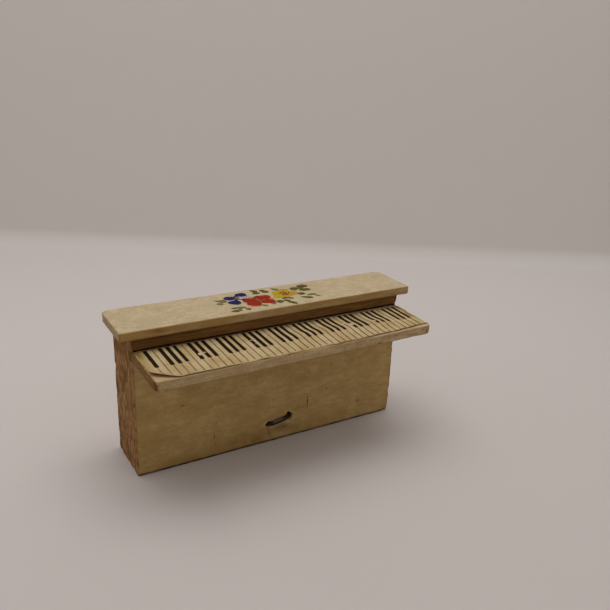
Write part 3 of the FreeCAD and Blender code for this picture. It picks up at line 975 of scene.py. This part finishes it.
# A blue, a red and a yellow flower among olive leaves, one entry for each paint: the piece's and
# the paint's names, the strokes' outline, the colour where it is thick, thin and pooled, then
# (bow, height, spread) and the strokes. A stroke is its middle x and y, its length, its width
# and its heading in degrees from +X, and may end with its own bow, height and spread.
FLOWERS = (
    ("flower_leaves", "leaf_green", LEAF_SHAPE, (74, 70, 26), (112, 104, 52), (50, 52, 22),
     (0.15, 0.06, 1.22), (
        (-0.9, 15, 2.4, 1.6, -60), (-0.9, 12.9, 2.3, 1.7, 3), (1.9, 14.5, 1.7, 1.4, 8),
        (2.4, 13.1, 2, 1.9, -13), (12, 12, 2.4, 2.5, -30), (15.8, 13.3, 3.5, 2.4, 0),
        (14, 11.8, 2.9, 1.2, 13), (15, 9.9, 3.4, 2.3, -7), (12, 7, 2.2, 2, -33),
        (12.1, 3.4, 3.5, 1.5, -36), (5.5, 5.4, 2.2, 1.2, 14), (6.9, 4.9, 2, 1.1, -51),
        (4.9, 3.4, 2, 1.4, -20), (5.6, 1.3, 3.4, 1.5, -60), (2.5, 3.4, 2, 2.2, -22),
        (-12.4, 3.6, 2.2, 1, -4), (-13.2, 1.4, 2.3, 1.3, -11), (-9.1, 1.5, 1.6, 1.1, -60))),
    ("flower_shoots", "shoot_green", LEAF_SHAPE, (100, 94, 48), (134, 122, 72), (80, 76, 34),
     (0.12, 0.05, 1.22), (
        (-13.7, 10.6, 3.1, 2.3, -31), (-15, 11.6, 1.9, 0.7, -36), (-15.1, 8.7, 2, 1.4, -35),
        (14.7, 5.1, 3, 1.3, 6), (15.8, 3.8, 2.5, 0.8, -60), (0.2, 2.8, 1.2, 1.6, -24),
        (-3.3, 2.4, 2.2, 1.2, -46), (-10.4, 3.5, 2.4, 1.1, -10), (-11, 2.6, 3.6, 0.8, 36),
        (-11.9, 1.6, 1.8, 1.2, -8), (-9.7, 2.7, 1.8, 0.6, -67), (6.2, 14, 2.6, 1.4, -60),
        (-8.2, 11.4, 1.8, 2.9, -9, 0, 0.085, 1))),
    ("flower_wash", "petal_wash", PETAL_SHAPE, (158, 150, 168), (178, 166, 160), (134, 128, 160),
     (0, 0.04, 1), (
        (-5.6, 11.2, 2.9, 2, 5), (-8.9, 14.2, 2, 0.7, 0))),
    ("flower_blue", "petal_blue", PETAL_SHAPE, (22, 24, 76), (46, 48, 102), (16, 18, 46),
     (0, 0.055, 1.12), (
        (-10.6, 12.1, 3.3, 3.1, -15), (-10.5, 8.2, 3.7, 3, -15), (-6, 13.7, 3.4, 2.8, -8),
        (-6.9, 9.7, 2.2, 0.9, -3), (-9.1, 10.1, 2.4, 1, 35), (-7.8, 13.1, 2.4, 1, 30),
        (-9.2, 11.6, 1.6, 1.1, 80))),
    ("flower_blush", "petal_blush", PETAL_SHAPE, (190, 118, 88), (188, 140, 108), (186, 104, 80),
     (0, 0.03, 1), (
        (1.3, 7.1, 2.8, 1.3, -60), (-6.2, 2.8, 3.2, 0.8, -15), (-4, 10.3, 3.4, 0.8, 0),
        (1.4, 9.6, 2.2, 0.7, -60))),
    ("flower_red", "petal_red", PETAL_SHAPE, (134, 25, 11), (166, 58, 30), (96, 17, 14),
     (0, 0.055, 1.13), (
        (-5.6, 7.9, 4, 3.3, -15), (-0.4, 8.9, 4.2, 3.3, -12), (-5.5, 4.8, 4.2, 3.4, -19),
        (-0.7, 5, 4.2, 3.3, -7), (-2.2, 9.7, 2.9, 2, 25), (-3, 6.9, 2.6, 2.6, -50))),
    ("flower_lime", "petal_lime", PETAL_SHAPE, (176, 154, 18), (188, 160, 40), (168, 152, 14),
     (0, 0.055, 1.12), (
        (4.9, 10.6, 2.8, 2.9, -24), (4.3, 7.8, 3, 3.2, -13))),
    ("flower_yellow", "petal_yellow", PETAL_SHAPE, (174, 134, 24), (188, 156, 70), (164, 122, 22),
     (0, 0.055, 1.06), (
        (8.1, 11.8, 3.8, 2.8, 20), (9.4, 8.9, 3.9, 3.4, -50), (6.4, 6.8, 2.6, 2.4, -11),
        (6.8, 9.6, 3, 2.6, 0), (7.8, 7.6, 2.6, 2, -30))),
    ("flower_hearts", "heart_ochre", PETAL_SHAPE, (122, 112, 76), (158, 112, 66), (92, 92, 62),
     (0, 0.085, 1), (
        (-7.9, 12.1, 1.3, 0.8, 20), (-2.9, 6.8, 2.3, 0.9, -53))),
    ("flower_stamens", "stamen_red", LEAF_SHAPE, (104, 44, 10), (130, 72, 20), (74, 26, 8),
     (0, 0.09, 1), (
        (5.9, 9.8, 2, 0.7, -35), (7.6, 10.4, 1.9, 0.8, -68), (7.4, 8.1, 2.6, 0.8, 13),
        (7.4, 9.3, 1.9, 1.3, -40), (6.7, 10.8, 1.7, 0.6, 20), (8.9, 9.5, 1.7, 0.6, 60),
        (6.4, 8.7, 1.5, 0.6, 70))),
)


def daub(number, outline, x, y, length, width, heading, bow, height, spread):
    """Points, underside first, and the fields of one brush stroke. number makes it unlike others."""
    along, across = np.meshgrid(
        np.linspace(-1, 1, DAUB_ROWS), np.linspace(-1, 1, DAUB_COLUMNS), indexing="ij")
    taper, fullness = outline
    plump = (1 - np.abs(along) ** taper) ** fullness * (1 + 0.18 * along) + 0.04
    seed = np.stack([along * 2 + x, across * 2 + y, along * 0 + number], axis=-1).reshape(-1, 3)
    ragged = value_noise(seed, 1.1, 111).reshape(along.shape)
    flat_x = along * length * spread / 2
    flat_y = across * width * spread / 2 * plump * (1 + 0.22 * ragged) + bow * (1 - along ** 2)
    angle = math.radians(heading)
    px = x + flat_x * math.cos(angle) - flat_y * math.sin(angle)
    py = y + flat_x * math.sin(angle) + flat_y * math.cos(angle)
    dome = np.clip(1 - np.abs(across) ** 3, 0, 1) * np.clip(plump, 0, 1)
    ridges = 1 + 0.35 * value_noise(seed * (0.25, 2.4, 1), 0.9, 113).reshape(along.shape)
    base = LID_TOP - PAINT_ROOM - 0.06
    top = np.minimum(base + 0.04 + height * dome * ridges, LID_TOP - 0.005)
    points = np.stack([[px, py, base + 0 * px], [px, py, top]]).transpose(0, 2, 3, 1).reshape(-1, 3)
    return points, np.stack([along, across, along * 0 + number * 3.7]).reshape(3, -1)


def make_flowers():
    """Paint the flowers freehand on the lid, each paint's strokes in one piece."""
    faces = sheet_faces(DAUB_ROWS, DAUB_COLUMNS)
    size = 2 * DAUB_ROWS * DAUB_COLUMNS
    for name, paint, outline, thick, thin, pooled, manner, strokes in FLOWERS:
        daubs = [daub(i * size, outline, *(stroke + manner)[:8]) for i, stroke in enumerate(strokes)]
        points = np.concatenate([daub_points for daub_points, _ in daubs])
        along, across, number = np.concatenate([np.tile(fields, 2) for _, fields in daubs], axis=1)
        make_piece(
            name, turn(points, LID_SKEW, "Z", (0, DEPTH / 2, 0)),
            np.concatenate([faces + i * size for i in range(len(strokes))]),
            brushed_paint(paint, thick, thin, pooled), "lid_wood",
            along=along, across=across, stroke=number)


# ---------------- stage, light and camera

WALL_AWAY = 205.0
SWEEP_RADIUS = 10.0
STAGE_REACH = 1400.0
VIEW_TURN = math.radians(31.3)

LIGHT_PLACE = Vector((60, 150, 520))
LIGHT_SIZE = 560
LIGHT_POWER = 2.2
LIGHT_COLOUR = (1.0, 0.985, 0.97)
SURROUND_STRENGTH = 0.42

CAMERA_PLACE = Vector((-94.07, -170.6, 118.66))
CAMERA_TURN = math.radians(31.23)
CAMERA_DIP = math.radians(20.28)
CAMERA_ROLL = math.radians(2.24)
CAMERA_LENS = 40.95


def make_stage(material):
    """Floor that curves up into a wall far behind the piano, square to the line of sight."""
    turns = np.linspace(0, math.pi / 2, 13)
    reach = [-STAGE_REACH, 0, *(WALL_AWAY + SWEEP_RADIUS * np.sin(turns)), WALL_AWAY + SWEEP_RADIUS]
    height = [0, 0, *(SWEEP_RADIUS * (1 - np.cos(turns))), STAGE_REACH]
    away = np.array([math.sin(VIEW_TURN), math.cos(VIEW_TURN), 0])
    side = np.array([away[1], -away[0], 0]) * STAGE_REACH
    points = [away * r + side * hand + (0, 0, z) for r, z in zip(reach, height) for hand in (-1, 1)]
    faces = [(2 * i, 2 * i + 1, 2 * i + 3, 2 * i + 2) for i in range(len(reach) - 1)]
    make_object("stage", np.array(points) * MM, faces, material)


def light_studio():
    """A wide soft square light overhead and a little behind, and an even pale surround."""
    light = bpy.data.lights.new("overhead", "AREA")
    light.shape = "SQUARE"
    light.size = LIGHT_SIZE * MM
    light.energy = LIGHT_POWER
    light.color = LIGHT_COLOUR
    lamp = bpy.data.objects.new("overhead", light)
    lamp.location = LIGHT_PLACE * MM
    lamp.rotation_mode = "QUATERNION"
    aim = Vector((0, 0, HEIGHT / 2 * MM)) - lamp.location
    lamp.rotation_quaternion = aim.to_track_quat("-Z", "Y")
    bpy.context.scene.collection.objects.link(lamp)

    world = bpy.data.worlds.new("surround")
    world.use_nodes = True
    surround = world.node_tree.nodes["Background"]
    surround.inputs["Color"].default_value = (*LIGHT_COLOUR, 1)
    surround.inputs["Strength"].default_value = SURROUND_STRENGTH
    bpy.context.scene.world = world
    bpy.context.scene.view_settings.view_transform = "Standard"


def add_camera():
    """Close view from the front left and above, held a little off level."""
    data = bpy.data.cameras.new("camera")
    data.sensor_width = 36
    data.lens = CAMERA_LENS
    data.clip_start, data.clip_end = 0.01, 10
    camera = bpy.data.objects.new("camera", data)
    look = (Matrix.Rotation(-CAMERA_TURN, 4, "Z")
            @ Matrix.Rotation(math.pi / 2 - CAMERA_DIP, 4, "X")
            @ Matrix.Rotation(CAMERA_ROLL, 4, "Z"))
    place = CAMERA_PLACE * MM + Vector(ORIGIN)
    camera.matrix_world = Matrix.Translation(place) @ look
    bpy.context.scene.collection.objects.link(camera)
    bpy.context.scene.camera = camera


# ---------------- build

make_block(painted_wood(
    "case_paint", (192, 162, 108), (172, 141, 88), (156, 122, 70), (138, 98, 50),
    (102, 64, 32), (186, 142, 96), (122, 86, 50), (0.5, 0.9, 0.13), (0.2, 1.0, 0.7),
    block_marks()))
make_lid(painted_wood(
    "lid_paint", (206, 189, 156), (186, 166, 130), (168, 134, 80), (140, 88, 38),
    (128, 76, 32), (150, 124, 90), (92, 68, 42), (0.5, 0.6, 0.8), (0.25, 0.8, 0.8)))
make_shelf(painted_wood(
    "shelf_paint", (212, 186, 146), (184, 156, 114), (158, 130, 84), (140, 102, 40),
    (112, 72, 22), (150, 104, 62), (86, 56, 26), (0.4, 0.5, 0.9), (0.12, 0.8, 0.8),
    SHELF_MARKS))
make_paper(printed_paper())
make_staple(rusty_wire())
make_brads(brad_metal())
make_flowers()

make_stage(studio_floor())
light_studio()
add_camera()
